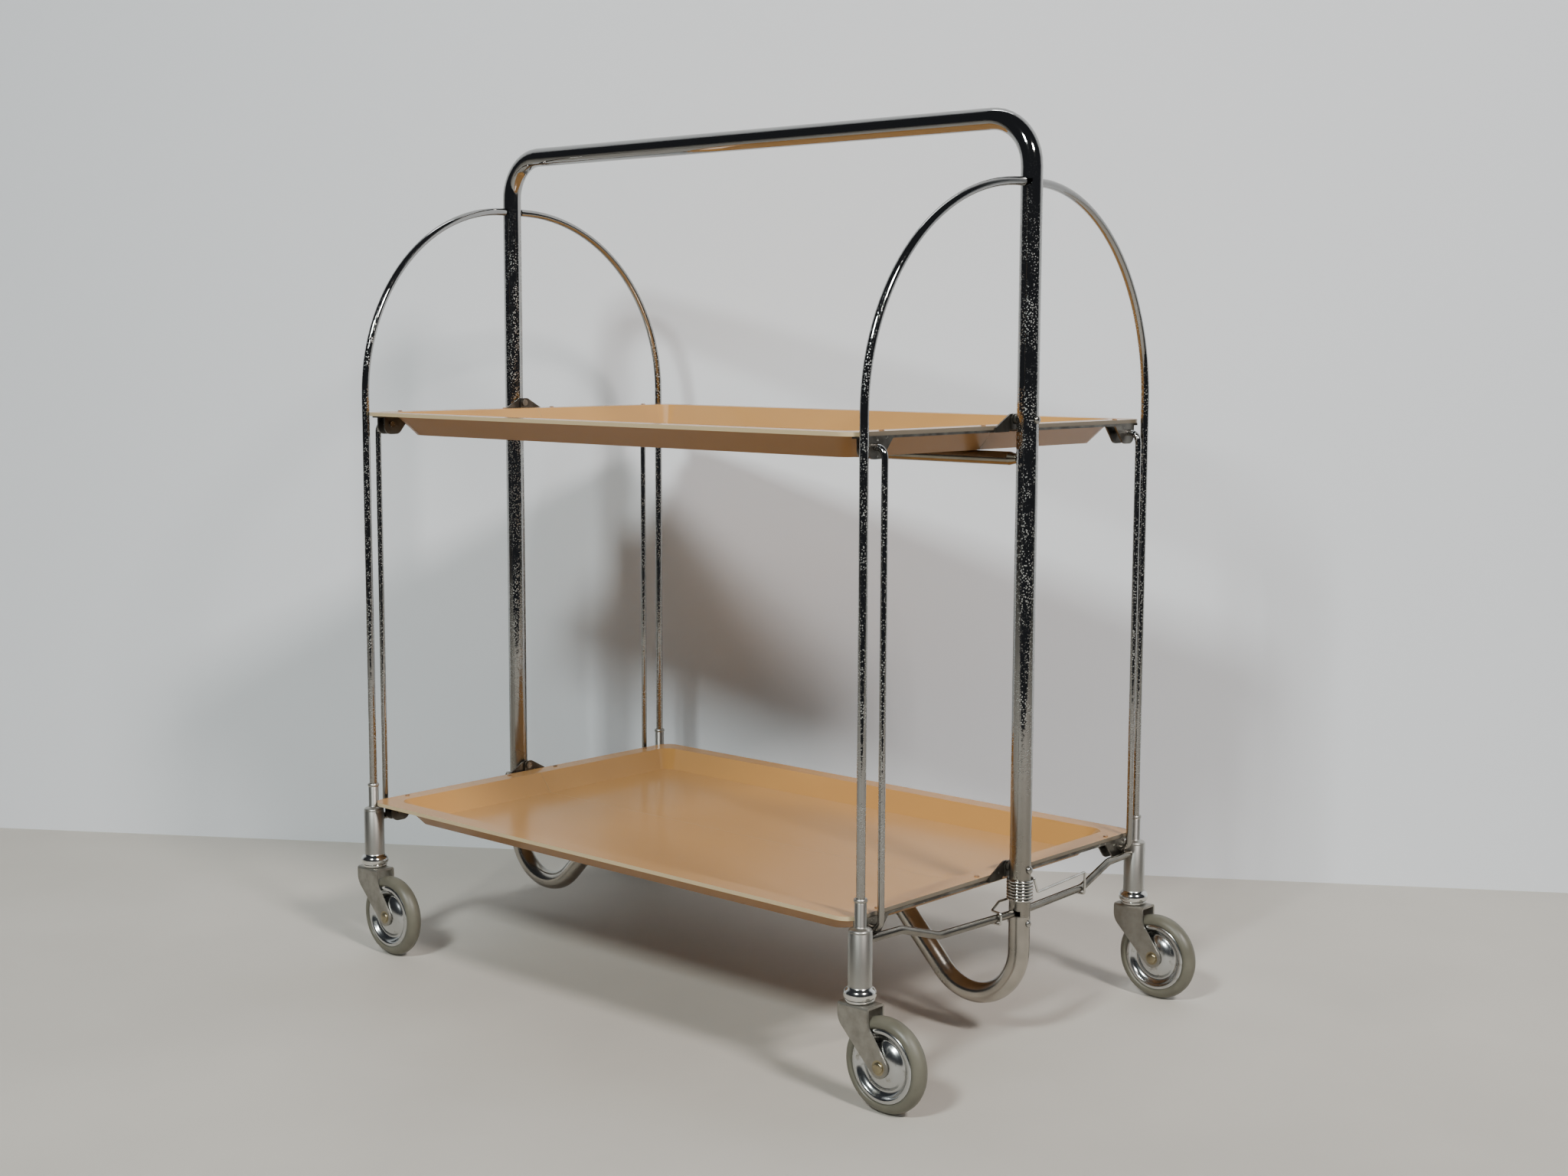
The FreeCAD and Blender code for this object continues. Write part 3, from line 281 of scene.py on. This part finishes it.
def satin_look(name, colour, roughness, cloud=35):
    """Plated steel gone slightly cloudy."""
    look = Look(name, colour, 1.0, roughness)
    clouds = look.noise(cloud, 5)
    dark = tuple(share * CLOUD_SHADE for share in colour[:3]) + (1.0,)
    look.paint(look.blend(look.ramp(clouds, 0.35, 0.7), colour, dark))
    look.rough(look.ramp(clouds, 0.3, 0.75, *(roughness * share for share in CLOUD_ROUGHNESS)))
    look.bump(look.noise(420, 3), 0.00005, 0.3)
    return look.material


def socket_look():
    """Satin plate on the tube, bright plate on the bead round its foot."""
    look = Look("socket_plate", rgb(196, 194, 188), 1.0, 0.3)
    height = look.axis("Object", "Z")
    bead = look.ramp(height, BEAD_TOP, BEAD_TOP - BEAD_FADE)
    clouds = look.noise(50, 4, (1, 1, 0.3))
    satin = look.blend(look.ramp(clouds, 0.4, 0.7), rgb(182, 180, 174), rgb(166, 163, 157))
    look.stain(bead, satin, rgb(212, 212, 208), 0.40, 0.14)
    look.bump(look.noise(500, 2), 0.00004, 0.3)
    return look.material


def lacquer_look():
    """Caramel lacquer, pinker on the flat floor and ochre on the walls, cream at the edge, with painted
    shade: browner on faces that point down, darker grey-brown on edges that face the tray's ends.
    """
    look = Look("caramel_lacquer", rgb(195, 147, 89), 0.0, 0.3)
    look.shader.inputs["Specular IOR Level"].default_value = 0.36
    facing = look.axis("Normal", "Z")
    flat = look.ramp(facing, 0.965, 0.985)
    # Faces that point down: painted shade, browner than the lacquer
    under = look.ramp(facing, -0.1, -0.3)
    edge = look.both(look.ramp(facing, 0.25, 0.12), look.ramp(facing, -0.25, -0.12))
    # Edges that face the tray's ends: painted shade, darker grey-brown
    end = look.ramp(look.both(look.axis("Normal", "X"), 0, "ABSOLUTE"), 0.90, 0.97)
    stains = look.ramp(look.noise(5, 3, (1, 1.6, 1)), 0.35, 0.7)
    floor = look.blend(stains, rgb(191, 145, 91), rgb(184, 139, 88))
    wall = look.blend(stains, rgb(192, 144, 81), rgb(184, 136, 77))
    colour = look.blend(flat, wall, floor)
    # Painted shade on the faces that point down
    colour = look.blend(under, colour, rgb(160, 120, 78))
    colour = look.blend(edge, colour, rgb(196, 176, 138))
    # Painted shade on the edges that face the tray's ends
    colour = look.blend(look.both(edge, end), colour, rgb(112, 103, 88))
    look.paint(colour)
    look.rough(look.ramp(stains, 0, 1, 0.19, 0.25))
    return look.material


def strap_look():
    """Plated steel gone dull, with darker stains and rubbed bright specks."""
    look = Look("plated_strap", rgb(112, 109, 103), 0.95, 0.33)
    stains = look.ramp(look.noise(60, 4), 0.40, 0.62)
    rubbed = look.ramp(look.noise(300, 4), 0.66, 0.74)
    plate = look.blend(stains, rgb(120, 117, 110), rgb(84, 81, 76))
    look.paint(look.blend(rubbed, plate, rgb(176, 173, 166)))
    look.rough(look.ramp(stains, 0, 1, 0.28, 0.42))
    return look.material


def painted_rivet_look():
    """Rivet heads under the tray's lacquer, worn brown."""
    look = Look("lacquered_rivet", rgb(150, 108, 66), 0.2, 0.42)
    worn = look.ramp(look.noise(420, 3), 0.45, 0.6)
    look.paint(look.blend(worn, rgb(160, 118, 76), rgb(112, 84, 58)))
    return look.material


def fork_look():
    """Dull zinc plate, nearly even, a little dirty."""
    look = Look("dull_zinc", rgb(150, 148, 140), 0.85, 0.5)
    mottle = look.ramp(look.noise(110, 6), 0.35, 0.68)
    look.stain(mottle, rgb(158, 155, 147), rgb(138, 135, 127), 0.40, 0.52)
    look.bump(look.noise(380, 4), 0.00006, 0.3)
    return look.material


def tyre_look():
    """Aged grey-green rubber, a little dusty."""
    look = Look("aged_rubber", rgb(112, 110, 98), 0.0, 0.45)
    dust = look.ramp(look.noise(50, 4), 0.4, 0.7)
    look.stain(dust, rgb(95, 93, 81), rgb(107, 105, 92), 0.38, 0.52)
    look.bump(look.noise(400, 3), 0.00006, 0.2)
    return look.material


def hub_look():
    """Bright pressed disc, spotted with a little dirt."""
    look = Look("bright_disc", rgb(186, 187, 186), 1.0, 0.2)
    dirt = look.ramp(look.noise(150, 5), 0.58, 0.72)
    look.stain(dirt, rgb(188, 190, 190), rgb(152, 150, 142), 0.19, 0.36)
    return look.material


def floor_look():
    """Pale floor, faintly cloudy."""
    look = Look("pale_floor", rgb(196, 191, 182), 0.0, 0.62)
    clouds = look.ramp(look.noise(2.4, 6), 0.35, 0.7)
    look.paint(look.blend(clouds, rgb(200, 195, 186), rgb(188, 183, 174)))
    return look.material


def wall_look():
    """Pale wall that can't be seen from behind, so that it hides nothing in the other views."""
    look = Look("pale_wall", rgb(230, 234, 239), 0.0, 0.9)
    facing = look.node("ShaderNodeNewGeometry")
    clear = look.node("ShaderNodeBsdfTransparent")
    mix = look.node("ShaderNodeMixShader")
    look.wire(facing.outputs["Backfacing"], mix.inputs["Fac"])
    look.wire(look.shader.outputs["BSDF"], mix.inputs[1])
    look.wire(clear.outputs["BSDF"], mix.inputs[2])
    look.wire(mix.outputs["Shader"], look.tree.nodes["Material Output"].inputs["Surface"])
    return look.material


def dress(material, *names):
    """Gives a material to every CAD node whose name starts with one of the names."""
    for name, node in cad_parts.items():
        if name.startswith(names):
            for place in node.material_slots:
                place.material = material


def dress_frame():
    dress(chrome_look("post_chrome", 0.20, 0.74, 0.26), "handle_frame")
    dress(chrome_look("hoop_chrome", 0.15, 0.66, 0.22), "hoop_leg", "link_rod")
    dress(satin_look("worn_plate", rgb(184, 179, 170), 0.22), "base_tube")
    dress(satin_look("bar_plate", rgb(150, 144, 130), 0.18), "crossbar")
    dress(satin_look("arm_plate", rgb(140, 136, 128), 0.20, 60), "arm_")
    dress(satin_look("pin_steel", rgb(150, 147, 140), 0.35, 90), "stem_", "hinge_pins", "foot_rivets")
    dress(painted_rivet_look(), "rivets_")
    dress(lacquer_look(), "tray_")
    dress(strap_look(), "strap_")
    dress(fork_look(), "fork_")


def solid_piece(name, points, faces, material, body, slot, *replaced):
    """A closed mesh in the row frame that stands for CAD nodes.

    It rides on its body when that is one body's name; given two bodies and two points, it stays where it is
    in the row frame.
    """
    mesh = bpy.data.meshes.new(name)
    mesh.from_pydata(points, [], faces)
    made = bmesh.new()
    made.from_mesh(mesh)
    bmesh.ops.recalc_face_normals(made, faces=made.faces)
    made.to_mesh(mesh)
    made.free()
    mesh.polygons.foreach_set("use_smooth", [True] * len(mesh.polygons))
    mesh.set_sharp_from_angle(angle=SHARP_ANGLE)
    mesh.materials.append(material)
    piece = bpy.data.objects.new(name, mesh)
    bpy.context.scene.collection.objects.link(piece)
    if isinstance(body, str):
        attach(piece, body)
    else:
        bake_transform(piece)
    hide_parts(*replaced)


def lathed(outline, place, axis, points, faces, sign=1):
    """Adds a closed outline of (radius, height) in millimetres turned about an axis through a place."""
    along = Vector([letter == axis for letter in "XYZ"])
    across = Vector((0, 0, 1)) if axis != "Z" else Vector((1, 0, 0))
    third = along.cross(across)
    rings = []
    for radius, height in outline:
        middle = Vector(place) + along * (height * sign * MM)
        count = LATHE_STEPS if radius > 0 else 1
        rings.append(range(len(points), len(points) + count))
        for step in range(count):
            angle = 2 * math.pi * step / count
            arm = across * math.cos(angle) + third * math.sin(angle)
            points.append(tuple(middle + arm * (radius * MM)))
    for ring, after in zip(rings, rings[1:] + rings[:1]):
        if len(ring) == 1 and len(after) == 1:
            continue
        for step in range(LATHE_STEPS):
            other = (step + 1) % LATHE_STEPS
            if len(ring) == 1:
                faces.append((ring[0], after[step], after[other]))
            elif len(after) == 1:
                faces.append((ring[step], after[0], ring[other]))
            else:
                faces.append((ring[step], after[step], after[other], ring[other]))


def mirrored(side):
    """One side of an outline and its mirror image, as one outline."""
    return side + [(radius, -height) for radius, height in reversed(side) if height > 0]


def middle_of(node):
    """The middle of a CAD node's box."""
    low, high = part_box(node)
    return (low + high) / 2


def turned_piece(name, outline, place, axis, material, body, slot, node):
    """A turned piece in place of one CAD node."""
    points, faces = [], []
    lathed(outline, place, axis, points, faces)
    solid_piece(name, points, faces, material, body, slot, node)


def rounded(corners):
    """A line through corners in millimetres, with the inner ones turned into arcs."""
    line = [Vector(corners[0])]
    for last, corner, after in zip(corners, corners[1:], corners[2:]):
        corner = Vector(corner)
        back = (Vector(last) - corner).normalized()
        on = (Vector(after) - corner).normalized()
        half = back.angle(on) / 2
        middle = corner + (back + on).normalized() * (WIRE_BEND / math.sin(half))
        first = corner + back * (WIRE_BEND / math.tan(half)) - middle
        final = corner + on * (WIRE_BEND / math.tan(half)) - middle
        line += [middle + first.slerp(final, step / BEND_STEPS).normalized() * WIRE_BEND
                 for step in range(BEND_STEPS + 1)]
    return line + [Vector(corners[-1])]


def spring_line():
    """The wire's middle line, from the low leg's hook round the coil to the high leg's hook."""
    count = round(COIL_TURNS * COIL_STEPS)
    coil = []
    for step in range(1, count):
        angle = math.pi - 2 * math.pi * step / COIL_STEPS
        height = COIL_LOW + COIL_RISE * step / count
        coil.append(Vector((COIL_RADIUS * math.cos(angle), COIL_RADIUS * math.sin(angle), height)))
    return rounded(LOW_LEG) + coil + rounded(HIGH_LEG)


def swept(line, points, faces):
    """Adds a round wire along a line, with flat ends, turning no more than the line does."""
    begin = len(points)
    across = (line[1] - line[0]).normalized().orthogonal().normalized()
    for place, middle in enumerate(line):
        along = line[min(place + 1, len(line) - 1)] - line[max(place - 1, 0)]
        across = across - along * (across.dot(along) / along.length_squared)
        across.normalize()
        third = along.normalized().cross(across)
        for side in range(WIRE_SIDES):
            angle = 2 * math.pi * side / WIRE_SIDES
            points.append(middle + (across * math.cos(angle) + third * math.sin(angle)) * WIRE_RADIUS)
    rings = [range(first, first + WIRE_SIDES) for first in range(begin, len(points), WIRE_SIDES)]
    for ring, after in zip(rings, rings[1:]):
        for side in range(WIRE_SIDES):
            other = (side + 1) % WIRE_SIDES
            faces.append((ring[side], after[side], after[other], ring[other]))
    faces += [tuple(rings[0]), tuple(rings[-1])]


def build_springs():
    """Each spring is one wire in two halves; each half's leg closes one gate, and both halves stay fixed in
    the row frame.
    """
    bright = satin_look("bright_wire", rgb(214, 213, 208), 0.14, 90)
    line = spring_line()
    half = len(line) // 2
    halves = (("low", line[:half + 1], LOW_LEG_BEND), ("high", line[half:], HIGH_LEG_BEND))
    for end, sign in ENDS.items():
        for leg, wire, bend in halves:
            points, faces = [], []
            swept(wire, points, faces)
            placed = [((POST_PLACE + point.x) * sign * MM, point.y * sign * MM, point.z * MM)
                      for point in points]
            start, finish = ((POST_PLACE * sign * MM, place * sign * MM, 0) for place in bend)
            side = "near" if finish[1] < 0 else "far"
            solid_piece(f"round_spring_{end}_{leg}", placed, faces, bright,
                        ("frame", f"gate_{side}_{end}", start, finish), "spring_wire", f"spring_{end}")


def build_pin_heads():
    """Round heads over the CAD's tapered ones, outside the posts and through the feet."""
    steel = satin_look("pin_head_steel", rgb(176, 174, 168), 0.24, 120)
    points, faces = [], []
    for sign in ENDS.values():
        for height in HINGE_HEIGHTS:
            place = ((POST_PLACE + POST_SIDE) * sign * MM, 0, height * MM)
            lathed(PIN_DOME, place, "X", points, faces, sign)
        for face in (-1, 1):
            place = ((POST_PLACE * sign + POST_SIDE * face) * MM, 0, FOOT_RIVET_HEIGHT * MM)
            lathed(RIVET_DOME, place, "X", points, faces, face)
    solid_piece("round_pin_heads", points, faces, steel, "frame", "rivet_steel")


def build_casters():
    """Round tyres, domed hubs and axle ends and beaded sockets in place of the CAD's plainer ones."""
    tyre, hub, socket = tyre_look(), hub_look(), socket_look()
    brass = satin_look("axle_plate", rgb(166, 156, 128), 0.34, 120)
    for side in SIDES:
        for end in ENDS:
            corner = f"{side}_{end}"
            wheel = middle_of(f"tyre_{corner}")
            turned_piece(f"round_tyre_{corner}", mirrored(TYRE_SIDE), wheel, "Y", tyre,
                         f"wheel_{corner}", "tyre_rubber", f"tyre_{corner}")
            turned_piece(f"domed_hub_{corner}", mirrored(HUB_SIDE), wheel, "Y", hub,
                         f"wheel_{corner}", "hub_chrome", f"hub_{corner}")
            low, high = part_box(f"axle_{corner}")
            half = (high.y - low.y) / 2 / MM - AXLE_HEAD[-1][1]
            shank = [(AXLE_RADIUS, 0.0), (AXLE_RADIUS, half)]
            shank += [(radius, half + rise) for radius, rise in AXLE_HEAD]
            turned_piece(f"domed_axle_{corner}", mirrored(shank), wheel, "Y", brass,
                         f"caster_{corner}", "axle_brass", f"axle_{corner}")
            foot = middle_of(f"socket_{corner}")
            turned_piece(f"beaded_socket_{corner}", SOCKET_OUTLINE, (foot.x, foot.y, 0), "Z", socket,
                         f"gate_{corner}", "nickel", f"socket_{corner}")


def room_axes():
    """The level directions to the camera's right and straight ahead of it, and up."""
    right = Vector((math.cos(CAMERA_YAW), math.sin(CAMERA_YAW), 0))
    return right, Vector((-right.y, right.x, 0)), Vector((0, 0, 1))


def flat_piece(name, corners, material):
    """A flat face of the stage."""
    mesh = bpy.data.meshes.new(name)
    mesh.from_pydata([tuple(corner) for corner in corners], [], [tuple(range(len(corners)))])
    made = bpy.data.objects.new(name, mesh)
    bpy.context.scene.collection.objects.link(made)
    mesh.materials.append(material)


def build_room():
    right, forward, up = room_axes()
    corners = [(-FLOOR_SIDE, -FLOOR_FRONT), (FLOOR_SIDE, -FLOOR_FRONT), (FLOOR_SIDE, FLOOR_BACK),
               (-FLOOR_SIDE, FLOOR_BACK)]
    flat_piece("floor", [right * across + forward * along for across, along in corners], floor_look())
    along = (WALL_FOOT_RIGHT - WALL_FOOT_LEFT).normalized() * WALL_REACH
    middle = (WALL_FOOT_RIGHT + WALL_FOOT_LEFT) / 2
    top = up * WALL_HEIGHT
    flat_piece("wall", [middle - along, middle + along, middle + along + top, middle - along + top],
               wall_look())


def view_axes():
    """The camera's own right, up and forward."""
    level, ahead, up = room_axes()
    forward = ahead * math.cos(CAMERA_PITCH) + up * math.sin(CAMERA_PITCH)
    upright = level.cross(forward)
    right = level * math.cos(CAMERA_ROLL) + upright * math.sin(CAMERA_ROLL)
    return right, right.cross(forward), forward


def build_camera():
    data = bpy.data.cameras.new("camera")
    data.sensor_fit = "HORIZONTAL"
    data.sensor_width = SENSOR_WIDTH
    data.lens = CAMERA_LENS
    data.clip_start, data.clip_end = CAMERA_CLIP
    camera = bpy.data.objects.new("camera", data)
    right, up, forward = view_axes()
    turn = Matrix((right, up, -forward)).transposed().to_4x4()
    camera.matrix_world = Matrix.Translation(CAMERA_PLACE) @ turn
    bpy.context.scene.collection.objects.link(camera)
    bpy.context.scene.camera = camera


def area_light(name, place, aim, side, power, colour, spread):
    data = bpy.data.lights.new(name, "AREA")
    data.shape = "RECTANGLE"
    data.size = side
    data.size_y = side
    data.energy = power
    data.color = colour
    data.spread = math.radians(spread)
    light = bpy.data.objects.new(name, data)
    light.location = place
    light.rotation_mode = "QUATERNION"
    light.rotation_quaternion = (aim - place).to_track_quat("-Z", "Y")
    bpy.context.scene.collection.objects.link(light)


def build_light():
    room = Matrix(room_axes()).transposed()
    for name, (place, aim, *rest) in LAMPS.items():
        area_light(name, room @ Vector(place), room @ Vector(aim), *rest)
    world = bpy.data.worlds.new("room")
    world.use_nodes = True
    background = world.node_tree.nodes["Background"]
    background.inputs["Color"].default_value = rgb(*WORLD_COLOUR)
    background.inputs["Strength"].default_value = 1.0
    bpy.context.scene.world = world


dress_frame()
build_casters()
build_springs()
build_pin_heads()
build_room()
build_camera()
build_light()
